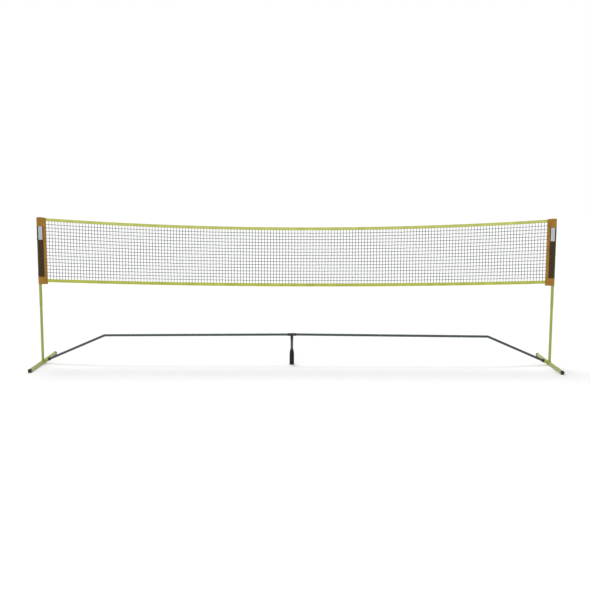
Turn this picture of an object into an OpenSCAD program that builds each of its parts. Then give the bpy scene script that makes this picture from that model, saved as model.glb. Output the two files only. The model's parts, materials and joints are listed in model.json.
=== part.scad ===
// Free-standing volleyball net on two poles.
// The feet, an arched base bar and its centre leg stand on the floor.  Each pole
// plugs onto a spigot of its foot, and the net's two side sleeves hang on the poles.
// Frame: origin on the floor midway between the poles, +X along the net to the right,
// +Y away from the front side, +Z up.  Millimetres.

/* [Net] */
// Distance between the two pole axes
span = 8500; // [8000:50:9000]
// Height of the top tape's upper edge at the poles
net_top = 2433; // [2430:1:2440]
// Height of the bottom tape's centre at the poles
low_tape_z = 1400; // [1380:5:1420]
// Height of the top tape
top_tape_h = 50; // [46:1:64]
// Height of the bottom tape
low_tape_h = 52; // [46:1:74]
// Thickness of the folded tapes
tape_t = 6; // [6:0.5:8]
// How far the top tape hangs down at mid span
top_sag = 138; // [40:1:180]
// How far the bottom tape hangs down at mid span
low_sag = 59; // [20:1:100]
// Thickness of the knotted mesh
mesh_t = 6; // [3:0.5:6]

/* [Sleeves] */
// Lowest edge of the side sleeves
sleeve_bottom = 1342; // [1320:1:1350]
// Highest edge of the side sleeves
sleeve_top = 2450; // [2448:1:2455]
// Distance from the pole axis to the sleeve's inner edge
sleeve_reach = 126; // [110:1:170]
// Outer radius of the sleeve around the pole
sleeve_r = 27.2; // [27:0.1:30]
// Radius of the tunnel that takes the pole
tunnel_r = 25; // [24.8:0.1:25.4]
// Height of the reinforced block at the top of the sleeve
top_block_h = 145; // [120:1:200]
// Height of the reinforced block at the bottom of the sleeve
low_block_h = 124; // [90:1:150]
// Height of the blank label
label_h = 225; // [150:1:240]
// Width of the dark panel on each face, measured from the pole axis
panel_reach = 80; // [76:1:100]
// Width of the blank label
label_w = 64; // [50:1:72]
// Thickness of each sewn-on layer
layer_t = 1.6; // [1.2:0.1:2]

/* [Poles] */
// Outer diameter of the lower pole
lower_pole_d = 44; // [43:0.5:44.5]
// Outer diameter of the upper pole
upper_pole_d = 49; // [48.5:0.5:49.5]
// Wall of the pole tubes
pole_wall = 1.5; // [1.5:0.1:1.6]
// Height at which the upper pole begins
pole_joint_z = 1005; // [900:5:1100]
// Length of lower pole held inside the upper pole
pole_overlap = 200; // [150:5:250]
// Height of the upper pole's top edge
pole_top = 2436; // [2430:1:2438]

/* [Feet] */
// Length of a foot, over its end caps
foot_len = 1500; // [1200:2:1560]
// Outer diameter of the foot tube
foot_d = 52; // [51:1:58]
// Height of the foot tube's axis
foot_z = 34; // [34:0.5:36]
// Wall of the end caps
cap_wall = 2.4; // [2:0.1:4]
// Length of the end caps
cap_len = 36; // [30:1:130]
// Height of the spigot above the pole's seat
spigot_h = 150; // [120:5:180]

/* [Base bar] */
// Distance from the middle to each knee
knee_x = 3205; // [3100:5:3300]
// Height of the base bar's axis at the knees
knee_z = 482; // [440:1:520]
// Height of the base bar's axis at the middle
bar_mid_z = 507; // [490:1:530]
// Outer diameter of the base bar tubes
bar_d = 40; // [38:0.5:40.5]
// Wall of the base bar tubes
bar_wall = 1.5; // [1.5:0.1:1.6]
// Distance from the middle to the outer joints of the base bar
outer_joint_x = 2700; // [2500:5:2800]
// Distance from the middle to the inner joints of the base bar
inner_joint_x = 1350; // [1200:5:1500]
// Length of each plug that joins two base bar tubes
plug_len = 110; // [90:1:130]
// Place of the centre leg, measured from the middle to the left
leg_x = 70; // [60:1:80]
// Outer diameter of the centre leg
leg_d = 43; // [42:0.5:44]
// Outer diameter of the rubber boot
boot_d = 78; // [60:1:84]
// Height of the rubber boot
boot_h = 262; // [240:1:300]

/* [Buttons] */
// Diameter of the spring buttons
button_d = 8; // [7:0.5:9]
// How far a button stands proud of the tube
button_proud = 3; // [2.5:0.1:3.5]

/* [Hidden] */
$fn = 96;
slack = 0.08;                       // radial running clearance
gap = 0.2;                          // air between pieces that only lie together
eps = 0.5;                          // overshoot of cutting tools
pole_x = span / 2;
lower_ri = lower_pole_d / 2 - pole_wall;
upper_ri = upper_pole_d / 2 - pole_wall;
bar_ro = bar_d / 2;
bar_ri = bar_ro - bar_wall;
plug_ro = bar_ri - slack;
plug_ri = plug_ro - bar_wall;
cap_ri = foot_d / 2 + slack;
cap_ro = cap_ri + cap_wall;
seat_z = foot_z + foot_d / 2 + 14;  // where the pole rests on its foot
stub_z = foot_z - 4;                // height of the stub's axis at the pole axis
stub_ri = bar_ro + slack;
stub_ro = stub_ri + 3;
stub_end = 128;                     // distance from the pole axis to the stub's mouth
collar_len = 26;
rise = atan((knee_z - stub_z) / (pole_x - knee_x));
tilt = atan((bar_mid_z - knee_z) / knee_x);
knee_run = norm([pole_x - knee_x, knee_z - stub_z]);
bar_run = norm([knee_x, bar_mid_z - knee_z]);
knuckle = 24;                       // solid length on each side of a knee
leg_ro = leg_d / 2;
leg_ri = leg_ro - bar_wall;
tee_ri = bar_ro + slack;
socket_ri = leg_ro + slack;
tee_ro = socket_ri + 2.5;
tee_half = 70;
leg_top = bar_mid_z - bar_ro - 6;
socket_low = leg_top - 74;
button_r = button_d / 2;
leaf_len = 44;
leaf_t = 1;
leaf_w = 9;
top_tape_z = net_top - top_tape_h / 2;
net_end = pole_x - sleeve_reach - 2 * layer_t - 2;
curve_steps = 48;
flap_r = 5;                         // half thickness of the sleeve at its inner edge
plug_top = pole_top + 8;
tunnel_end = plug_top + gap;        // the closed sleeve hangs on the pole's plug
panel_low = sleeve_bottom + low_block_h + gap;
panel_high = sleeve_top - top_block_h - gap;

// Hang of the net, as a fraction of the sag: 0 at the sleeves and 1 at mid span
function hang(x) = 1 - pow(x / net_end, 2);
function top_curve(x) = top_tape_z - top_sag * hang(x);
function low_curve(x) = low_tape_z - low_sag * hang(x);

// ---- frames ------------------------------------------------------------------

module on_left() {
    mirror([1, 0, 0]) children();
}

// Local +X runs from the middle of the base bar outwards to the right knee
module on_bar() {
    translate([0, 0, bar_mid_z]) rotate([0, tilt, 0]) children();
}

// Local +X runs from the right pole axis up along the stub to the knee
module on_stub() {
    translate([pole_x, 0, stub_z]) rotate([0, 180 + rise, 0]) children();
}

// Puts a vertical tube's joint in the tube frame: local +X is up
module upright(x, z) {
    translate([x, 0, z]) rotate([0, -90, 0]) children();
}

// ---- shared shapes -----------------------------------------------------------

// Solid rod along local X
module rod_x(r, x0, x1) {
    translate([x0, 0, 0]) rotate([0, 90, 0]) cylinder(r = r, h = x1 - x0);
}

module tube_x(ro, ri, x0, x1) {
    difference() {
        rod_x(ro, x0, x1);
        rod_x(ri, x0 - eps, x1 + eps);
    }
}

module tube_z(ro, ri, z0, z1) {
    difference() {
        translate([0, 0, z0]) cylinder(r = ro, h = z1 - z0);
        translate([0, 0, z0 - eps]) cylinder(r = ri, h = z1 - z0 + 2 * eps);
    }
}

// Hole for a spring button through the front wall, on local X at x
module button_hole(x, r_out) {
    translate([x, 0, 0]) rotate([90, 0, 0]) cylinder(r = button_r + slack, h = r_out + 5);
}

// Spring button on its leaf: r_in is the inner tube's bore, r_out the outer tube's radius
module button(x, r_in, r_out) {
    crown = 1.2;
    translate([x, 0, 0]) rotate([90, 0, 0]) {
        translate([0, 0, r_in - 4]) cylinder(r = button_r, h = r_out + button_proud - crown - r_in + 4);
        translate([0, 0, r_out + button_proud - crown])
            cylinder(r1 = button_r, r2 = button_r - crown, h = crown);
    }
    translate([x - 6, -(r_in - 3), -leaf_w / 2]) cube([leaf_len + 6, leaf_t, leaf_w]);
}

// Fixed half of the leaf spring: it turns back at the leaf's end and rests on the far wall
module spring(x, r_in) {
    reach = r_in - 3.5;
    turn = x + leaf_len + 1;
    translate([0, 0, -leaf_w / 2]) linear_extrude(leaf_w) {
        intersection() {
            difference() {
                translate([turn, 0]) circle(r = reach);
                translate([turn, 0]) circle(r = reach - leaf_t);
            }
            translate([turn, -reach - 1]) square([reach + 1, 2 * reach + 2]);
        }
        translate([x - 10, reach - leaf_t]) square([turn - x + 10, leaf_t]);
    }
}

// Base bar tube from x0 to x1 with a plug that stands out of its x1 end
module plugged_bar(x0, x1) {
    difference() {
        union() {
            rod_x(bar_ro, x0, x1);
            rod_x(plug_ro, x1 - 1, x1 + plug_len);
        }
        rod_x(bar_ri, x0 - eps, x1 - 60);
        rod_x(plug_ri, x1 - 61, x1 + plug_len + eps);
    }
}

// ---- feet --------------------------------------------------------------------

module foot_bar() {
    half = foot_len / 2 - 8;
    difference() {
        union() {
            translate([pole_x, half, foot_z]) rotate([90, 0, 0]) cylinder(d = foot_d, h = 2 * half);
            translate([pole_x, 0, foot_z]) cylinder(d = 50, h = seat_z - foot_z);
            translate([pole_x, 0, foot_z]) cylinder(r = lower_ri - slack, h = seat_z - foot_z + spigot_h);
            on_stub() rod_x(stub_ro, 12, stub_end);
        }
        translate([pole_x, half + eps, foot_z]) rotate([90, 0, 0])
            cylinder(d = foot_d - 4, h = 2 * half + 2 * eps);
        translate([pole_x, 0, foot_z]) cylinder(r = lower_ri - 2, h = seat_z - foot_z + spigot_h + eps);
        on_stub() rod_x(stub_ri, 40, stub_end + eps);
        on_stub() button_hole(stub_end - 20 - collar_len, stub_ro);
    }
}

// Cup over one end of a foot, with a flat underside; dir is -1 in front, 1 behind
module foot_cap(dir) {
    y_end = foot_len / 2;
    translate([pole_x, 0, 0]) difference() {
        union() {
            translate([0, dir * y_end, foot_z]) rotate([dir * 90, 0, 0]) cylinder(r = cap_ro, h = cap_len);
            translate([-23, dir > 0 ? y_end - cap_len : -y_end, 0]) cube([46, cap_len, foot_z]);
        }
        translate([0, dir * (y_end - 7), foot_z]) rotate([dir * 90, 0, 0])
            cylinder(r = cap_ri, h = cap_len);
    }
}

module stub_collar() {
    on_stub() difference() {
        rod_x(stub_ro + 4, stub_end - collar_len, stub_end + 6);
        rod_x(stub_ro + slack, stub_end - collar_len - eps, stub_end);
        rod_x(bar_ro + slack, stub_end - eps, stub_end + 6 + eps);
    }
}

// ---- base bar ----------------------------------------------------------------

// Two straight runs that meet in a closed knuckle at the knee
module knee_tube() {
    difference() {
        union() {
            on_stub() rod_x(bar_ro, 46, knee_run);
            on_bar() rod_x(bar_ro, outer_joint_x + 4, bar_run);
            translate([knee_x, 0, knee_z]) sphere(r = bar_ro + 0.8);
        }
        on_stub() rod_x(bar_ri, 40, knee_run - knuckle);
        on_bar() rod_x(bar_ri, outer_joint_x, bar_run - knuckle);
        on_bar() button_hole(outer_joint_x + 60, bar_ro);
        on_stub() button_hole(stub_end - 20 - collar_len, stub_ro);
    }
}

module outer_bar() {
    on_bar() difference() {
        plugged_bar(inner_joint_x + 4, outer_joint_x);
        button_hole(inner_joint_x + 60, bar_ro);
        button_hole(outer_joint_x + 60, bar_ro);
    }
}

module left_inner_bar() {
    on_left() on_bar() difference() {
        plugged_bar(1, inner_joint_x);
        button_hole(inner_joint_x + 60, bar_ro);
        button_hole(35, bar_ro);
        translate([leg_x, 0, -bar_ro - 5]) cylinder(r = 5, h = 10);
    }
}

// Its second plug lies on the left bar's axis, and takes up the slight rise at the middle
module right_inner_bar() {
    difference() {
        union() {
            on_bar() rod_x(bar_ro, 2, inner_joint_x);
            on_bar() rod_x(plug_ro, inner_joint_x - 1, inner_joint_x + plug_len);
            on_left() on_bar() rod_x(plug_ro, -12, plug_len);
        }
        on_bar() rod_x(bar_ri, 60, inner_joint_x - 60);
        on_bar() rod_x(plug_ri, inner_joint_x - 61, inner_joint_x + plug_len + eps);
        on_bar() rod_x(plug_ri - 1, -1, 61);
        on_left() on_bar() rod_x(plug_ri, -3, plug_len + eps);
        on_bar() button_hole(inner_joint_x + 60, bar_ro);
        on_left() on_bar() button_hole(35, bar_ro);
    }
}

// Sleeve over the end of the left inner bar, with a socket for the leg
module centre_tee() {
    color([0.13, 0.14, 0.14]) difference() {
        union() {
            on_left() on_bar() rod_x(tee_ro, leg_x - tee_half, leg_x + tee_half);
            translate([-leg_x, 0, socket_low]) cylinder(r = tee_ro, h = bar_mid_z - socket_low);
        }
        on_left() on_bar() rod_x(tee_ri, leg_x - tee_half - eps, leg_x + tee_half + eps);
        translate([-leg_x, 0, socket_low - eps]) cylinder(r = socket_ri, h = leg_top - socket_low + 1);
        on_left() on_bar() button_hole(35, tee_ro);
        upright(-leg_x, socket_low + 22) button_hole(0, tee_ro);
    }
}

module centre_leg() {
    color([0.27, 0.29, 0.3]) difference() {
        translate([-leg_x, 0, 0]) tube_z(leg_ro, leg_ri, 12, leg_top);
        upright(-leg_x, socket_low + 22) button_hole(0, leg_ro);
    }
}

// Rubber boot: flat underside, straight sides and a rounded, tapered shoulder
module leg_boot() {
    r = boot_d / 2;
    neck_r = leg_ro + 5;
    shoulder = 90;
    color([0.1, 0.12, 0.12]) translate([-leg_x, 0, 0]) difference() {
        rotate_extrude() union() {
            polygon(concat(
                [[0, 0], [r - 3, 0], [r, 3], [r, boot_h - shoulder]],
                [for (i = [1 : 8]) let (t = i / 8)
                    [neck_r + (r - neck_r) * pow(cos(90 * t), 1.4), boot_h - shoulder + shoulder * t]],
                [[0, boot_h]]
            ));
        }
        translate([0, 0, 12]) cylinder(r = leg_ro + slack, h = boot_h);
    }
}

// ---- poles -------------------------------------------------------------------

module lower_pole() {
    difference() {
        translate([pole_x, 0, 0])
            tube_z(lower_pole_d / 2, lower_ri, seat_z, pole_joint_z + pole_overlap);
        upright(pole_x, pole_joint_z + 100) button_hole(0, lower_pole_d / 2);
    }
}

module upper_pole() {
    difference() {
        translate([pole_x, 0, 0]) tube_z(upper_pole_d / 2, upper_ri, pole_joint_z, pole_top);
        upright(pole_x, pole_joint_z + 100) button_hole(0, upper_pole_d / 2);
    }
}

// Plastic bush between the two pole tubes, with a lip under the upper one
module pole_ferrule() {
    ri = lower_pole_d / 2 + slack;
    translate([pole_x, 0, 0]) {
        difference() {
            union() {
                translate([0, 0, pole_joint_z - 16]) cylinder(d = upper_pole_d + 2, h = 16);
                translate([0, 0, pole_joint_z - 1]) cylinder(r = upper_ri - slack, h = 61);
            }
            translate([0, 0, pole_joint_z - 17]) cylinder(r = ri, h = 80);
        }
    }
}

module pole_plug() {
    translate([pole_x, 0, 0]) {
        translate([0, 0, pole_top - 40]) cylinder(r = upper_ri - slack, h = 41);
        translate([0, 0, pole_top]) cylinder(d = upper_pole_d, h = 5);
        translate([0, 0, pole_top + 5]) cylinder(d1 = upper_pole_d, d2 = upper_pole_d - 8, h = 3);
    }
}

// ---- net ---------------------------------------------------------------------

// Upright sheet that hangs with the net, from the curve plus a up to the curve plus b
module hung_sheet(low, a, high, b, t) {
    xs = [for (i = [0 : curve_steps]) net_end * (2 * i / curve_steps - 1)];
    translate([0, t / 2, 0]) rotate([90, 0, 0]) linear_extrude(t) polygon(concat(
        [for (x = xs) [x, (low ? low_curve(x) : top_curve(x)) + a]],
        [for (i = [curve_steps : -1 : 0]) let (x = xs[i]) [x, (high ? low_curve(x) : top_curve(x)) + b]]
    ));
}

module net_mesh() {
    color([0.35, 0.38, 0.36]) hung_sheet(true, low_tape_h / 2 + gap, false, -top_tape_h / 2 - gap, mesh_t);
}

module top_tape() {
    color([0.7, 0.75, 0.3]) difference() {
        hung_sheet(false, -top_tape_h / 2, false, top_tape_h / 2, tape_t);
        hung_sheet(false, top_tape_h / 2 - 8, false, top_tape_h / 2 - 3, 4);
    }
}

module bottom_tape() {
    color([0.7, 0.75, 0.3]) difference() {
        hung_sheet(true, -low_tape_h / 2, true, low_tape_h / 2, tape_t);
        hung_sheet(true, -low_tape_h / 2 + 3, true, -low_tape_h / 2 + 8, 4);
    }
}

module top_cord() {
    color([0.9, 0.9, 0.88])
        hung_sheet(false, top_tape_h / 2 - 7.6, false, top_tape_h / 2 - 3.4, 3.2);
}

module bottom_cord() {
    color([0.9, 0.9, 0.88])
        hung_sheet(true, -low_tape_h / 2 + 3.4, true, -low_tape_h / 2 + 7.6, 3.2);
}

// Cross-section of the sleeve, grown by extra: a round around the pole that narrows
// to the flap; local +X points towards the net
module sleeve_outline(extra) {
    big = sleeve_r + extra;
    small = flap_r + extra;
    reach = sleeve_reach - flap_r;
    a = asin((big - small) / reach);
    polygon(concat(
        [for (i = [0 : 32]) let (t = 90 - a + (180 + 2 * a) * i / 32) big * [cos(t), sin(t)]],
        [for (i = [0 : 8]) let (t = a - 90 + (180 - 2 * a) * i / 8) [reach + small * cos(t), small * sin(t)]]
    ));
}

// Turns the cross-section so that it narrows from the right pole towards the middle
module at_sleeve(z) {
    translate([pole_x, 0, z]) mirror([1, 0, 0]) children();
}

module sleeve() {
    difference() {
        at_sleeve(sleeve_bottom) linear_extrude(sleeve_top - sleeve_bottom) sleeve_outline(0);
        translate([pole_x, 0, sleeve_bottom - eps]) cylinder(r = tunnel_r, h = tunnel_end - sleeve_bottom + eps);
    }
}

// Cross-section of a layer sewn over the sleeve
module layer_outline(inner, outer) {
    difference() {
        sleeve_outline(outer);
        sleeve_outline(inner);
    }
}

// Layer sewn around the whole sleeve from z0 up by h
module sleeve_band(z0, h) {
    at_sleeve(z0) linear_extrude(h) layer_outline(gap / 2, layer_t);
}

// Wraps round the pole side of the sleeve, from one face to the other
module sleeve_panel() {
    at_sleeve(panel_low) linear_extrude(panel_high - panel_low) intersection() {
        layer_outline(gap / 2, layer_t);
        translate([-60, -60]) square([60 + panel_reach, 120]);
    }
}

module label() {
    at_sleeve(panel_high - label_h) linear_extrude(label_h) intersection() {
        layer_outline(layer_t + gap, 2 * layer_t);
        translate([2, -60]) square([label_w, 60]);
    }
}

// ---- springs and buttons -----------------------------------------------------

module base_button_springs() {
    color("silver") {
        on_stub() spring(stub_end - 20 - collar_len, bar_ri);
        on_left() on_stub() spring(stub_end - 20 - collar_len, bar_ri);
        for (x = [inner_joint_x, outer_joint_x]) {
            on_bar() mirrored_spring(x + 60, plug_ri);
            on_left() on_bar() mirrored_spring(x + 60, plug_ri);
        }
        on_left() on_bar() spring(35, plug_ri);
        upright(-leg_x, socket_low + 22) mirrored_spring(0, leg_ri);
    }
}

// The same spring turned round, so that it lies in the plug and not beyond it
module mirrored_spring(x, r_in) {
    translate([x, 0, 0]) mirror([1, 0, 0]) spring(0, r_in);
}

module turned_button(x, r_in, r_out) {
    translate([x, 0, 0]) mirror([1, 0, 0]) button(0, r_in, r_out);
}

module stub_button() {
    on_stub() button(stub_end - 20 - collar_len, bar_ri, stub_ro);
}

module bar_button(x) {
    on_bar() turned_button(x + 60, plug_ri, bar_ro);
}

module tee_button() {
    color("silver") on_left() on_bar() button(35, plug_ri, tee_ro);
}

module leg_button() {
    color("silver") upright(-leg_x, socket_low + 22) turned_button(0, leg_ri, tee_ro);
}

module pole_button() {
    upright(pole_x, pole_joint_z + 100) turned_button(0, lower_ri, upper_pole_d / 2);
}

module pole_spring() {
    upright(pole_x, pole_joint_z + 100) mirrored_spring(0, lower_ri);
}

// ---- named pieces --------------------------------------------------------------

lime = [0.68, 0.72, 0.38];
dark_tube = [0.27, 0.29, 0.3];
black = [0.1, 0.1, 0.1];
orange = [0.75, 0.5, 0.2];
steel = "silver";

module left_foot_bar() { color(lime) on_left() foot_bar(); }
module right_foot_bar() { color(lime) foot_bar(); }
module left_front_cap() { color(black) on_left() foot_cap(-1); }
module left_rear_cap() { color(black) on_left() foot_cap(1); }
module right_front_cap() { color(black) foot_cap(-1); }
module right_rear_cap() { color(black) foot_cap(1); }
module left_stub_collar() { color(black) on_left() stub_collar(); }
module right_stub_collar() { color(black) stub_collar(); }
module left_knee_tube() { color(dark_tube) on_left() knee_tube(); }
module right_knee_tube() { color(dark_tube) knee_tube(); }
module left_outer_bar() { color(dark_tube) on_left() outer_bar(); }
module right_outer_bar() { color(dark_tube) outer_bar(); }
module left_stub_button() { color(steel) on_left() stub_button(); }
module right_stub_button() { color(steel) stub_button(); }
module left_outer_button() { color(steel) on_left() bar_button(outer_joint_x); }
module right_outer_button() { color(steel) bar_button(outer_joint_x); }
module left_inner_button() { color(steel) on_left() bar_button(inner_joint_x); }
module right_inner_button() { color(steel) bar_button(inner_joint_x); }
module left_lower_pole() { color(lime) on_left() lower_pole(); }
module right_lower_pole() { color(lime) lower_pole(); }
module left_upper_pole() { color(lime) on_left() upper_pole(); }
module right_upper_pole() { color(lime) upper_pole(); }
module left_pole_ferrule() { color(lime) on_left() pole_ferrule(); }
module right_pole_ferrule() { color(lime) pole_ferrule(); }
module left_pole_plug() { color(black) on_left() pole_plug(); }
module right_pole_plug() { color(black) pole_plug(); }
module left_pole_button() { color(steel) on_left() pole_button(); }
module right_pole_button() { color(steel) pole_button(); }
module left_pole_spring() { color(steel) on_left() pole_spring(); }
module right_pole_spring() { color(steel) pole_spring(); }
module left_sleeve() { color(orange) on_left() sleeve(); }
module right_sleeve() { color(orange) sleeve(); }
module left_top_block() { color(orange) on_left() sleeve_band(sleeve_top - top_block_h, top_block_h); }
module right_top_block() { color(orange) sleeve_band(sleeve_top - top_block_h, top_block_h); }
module left_bottom_block() { color(orange) on_left() sleeve_band(sleeve_bottom, low_block_h); }
module right_bottom_block() { color(orange) sleeve_band(sleeve_bottom, low_block_h); }
module left_sleeve_panel() { color(black) on_left() sleeve_panel(); }
module right_sleeve_panel() { color(black) sleeve_panel(); }
module left_label() { color("white") on_left() label(); }
module right_label() { color("white") label(); }

left_foot_bar();
right_foot_bar();
left_front_cap();
left_rear_cap();
right_front_cap();
right_rear_cap();
left_stub_collar();
right_stub_collar();
left_knee_tube();
right_knee_tube();
left_outer_bar();
right_outer_bar();
color(dark_tube) left_inner_bar();
color(dark_tube) right_inner_bar();
centre_tee();
centre_leg();
leg_boot();
left_stub_button();
right_stub_button();
left_outer_button();
right_outer_button();
left_inner_button();
right_inner_button();
tee_button();
leg_button();
base_button_springs();
left_lower_pole();
right_lower_pole();
left_upper_pole();
right_upper_pole();
left_pole_ferrule();
right_pole_ferrule();
left_pole_plug();
right_pole_plug();
left_pole_button();
right_pole_button();
left_pole_spring();
right_pole_spring();
net_mesh();
top_tape();
bottom_tape();
top_cord();
bottom_cord();
left_sleeve();
right_sleeve();
left_top_block();
right_top_block();
left_bottom_block();
right_bottom_block();
left_sleeve_panel();
right_sleeve_panel();
left_label();
right_label();
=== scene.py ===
"""Looks of the free-standing volleyball net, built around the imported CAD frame."""
import json
import math
import random

import bmesh
import bpy
import numpy as np
from mathutils import Matrix, Vector


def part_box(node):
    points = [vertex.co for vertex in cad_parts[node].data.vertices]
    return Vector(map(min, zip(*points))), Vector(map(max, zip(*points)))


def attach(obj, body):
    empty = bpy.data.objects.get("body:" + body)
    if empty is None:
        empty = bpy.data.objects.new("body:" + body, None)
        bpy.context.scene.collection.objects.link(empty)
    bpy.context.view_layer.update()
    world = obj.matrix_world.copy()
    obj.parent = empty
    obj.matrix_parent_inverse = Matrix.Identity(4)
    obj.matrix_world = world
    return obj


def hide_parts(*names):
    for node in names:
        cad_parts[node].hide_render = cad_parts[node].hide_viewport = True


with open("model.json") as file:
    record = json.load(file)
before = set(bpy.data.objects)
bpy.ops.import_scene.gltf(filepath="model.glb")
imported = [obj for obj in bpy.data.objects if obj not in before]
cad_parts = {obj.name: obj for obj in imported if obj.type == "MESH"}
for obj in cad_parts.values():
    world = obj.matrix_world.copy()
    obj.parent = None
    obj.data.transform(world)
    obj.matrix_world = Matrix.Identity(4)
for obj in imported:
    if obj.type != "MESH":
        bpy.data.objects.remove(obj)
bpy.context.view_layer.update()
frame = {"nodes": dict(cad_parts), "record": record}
MM = 0.001
TAU = 2 * math.pi

# ---- sizes, in metres, read from the frame where the frame holds them ----------------


def box_size(node):
    low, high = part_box(node)
    return high - low


def box_centre(node):
    low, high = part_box(node)
    return (low + high) / 2


# Sleeves: reaches are measured from the pole's axis towards the net
POLE_X = box_centre("right_upper_pole").x
SLEEVE_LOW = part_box("right_sleeve")[0].z
SLEEVE_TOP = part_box("right_sleeve")[1].z
SLEEVE_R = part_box("right_sleeve")[1].x - POLE_X
SLEEVE_REACH = POLE_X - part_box("right_sleeve")[0].x
FLAP_R = 5 * MM
TUNNEL_R = 25 * MM
TUNNEL_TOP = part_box("right_pole_plug")[1].z + 0.2 * MM
PANEL_REACH = 80 * MM
LABEL_FAR = 2 * MM
LABEL_NEAR = 66 * MM
LAYER_T = 1.6 * MM
SUNK = 0.3 * MM
TOP_DROOP = 12 * MM
SLEEVE_COLUMNS = 112
SLEEVE_ROWS = 260
CLOTH_STEP = 4.2 * MM
LOOSE_CREASES = 110
PULLED_CREASES = 18
CREASE_LIMIT = 5 * MM

# Tapes, each folded over its cord
NET_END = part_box("top_tape")[1].x
TOP_TAPE_H = 50 * MM
TOP_TAPE_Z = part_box("top_tape")[1].z - TOP_TAPE_H / 2
TOP_SAG = box_size("top_tape").z - TOP_TAPE_H
LOW_TAPE_H = 52 * MM
LOW_TAPE_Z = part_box("bottom_tape")[1].z - LOW_TAPE_H / 2
LOW_SAG = box_size("bottom_tape").z - LOW_TAPE_H
FOLD_R = 5 * MM
WEBBING_HALF_T = 2.6 * MM
CORD_R = 2.2 * MM
TAPE_STEPS = 656

# Mesh, which is sewn into the tapes and runs to the sleeves
NET_SIDE = POLE_X - SLEEVE_REACH + 3 * MM
CELL_W = 50 * MM
CELL_H = 55 * MM
SEWN_IN = 6 * MM
TWINE_R = 3.9 * MM
TWINE_SAG = 0.8 * MM
TWINE_SLACK = 0.5 * MM
KNOT_SIZE = np.array([6.0, 5.0, 6.0]) * MM
KNOT_DRIFT = np.array([1.3, 0.9, 1.2]) * MM

# Base: the stub meets the foot tube a little below its axis
FOOT_R = 26 * MM
FOOT_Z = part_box("right_foot_bar")[0].z + FOOT_R
NECK_R = 25 * MM
BAR_R = box_size("right_inner_bar").y / 2
BAR_WALL = 1.5 * MM
STUB_R = BAR_R + 3.1 * MM
STUB_DROP = 4 * MM
BEND_R = 95 * MM
BEND_STEPS = 12
KNEE_END = 46 * MM
TUBE_SIDES = 40
BEAD_R = 3.2 * MM
WELD_STEPS = 96
WELD_RIPPLES = 22
LEG_X = box_centre("centre_leg").x
LEG_R = box_size("centre_leg").x / 2
RIBS = 6
RIB_PITCH = 11 * MM

# Limits for joining points, and for telling flat faces from edges
SAME_PLACE = 1e-6
FLAT_ANGLE = math.radians(0.6)
CORNER_ANGLE = math.radians(35)
CREASE_ANGLE = math.radians(40)


def hang(x):
    """Share of a tape's sag at x: 1 in the middle and 0 at the ends."""
    return 1 - (x / NET_END) ** 2


def top_curve(x):
    return TOP_TAPE_Z - TOP_SAG * hang(x)


def low_curve(x):
    return LOW_TAPE_Z - LOW_SAG * hang(x)


# ---- meshes ---------------------------------------------------------------------------


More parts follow.
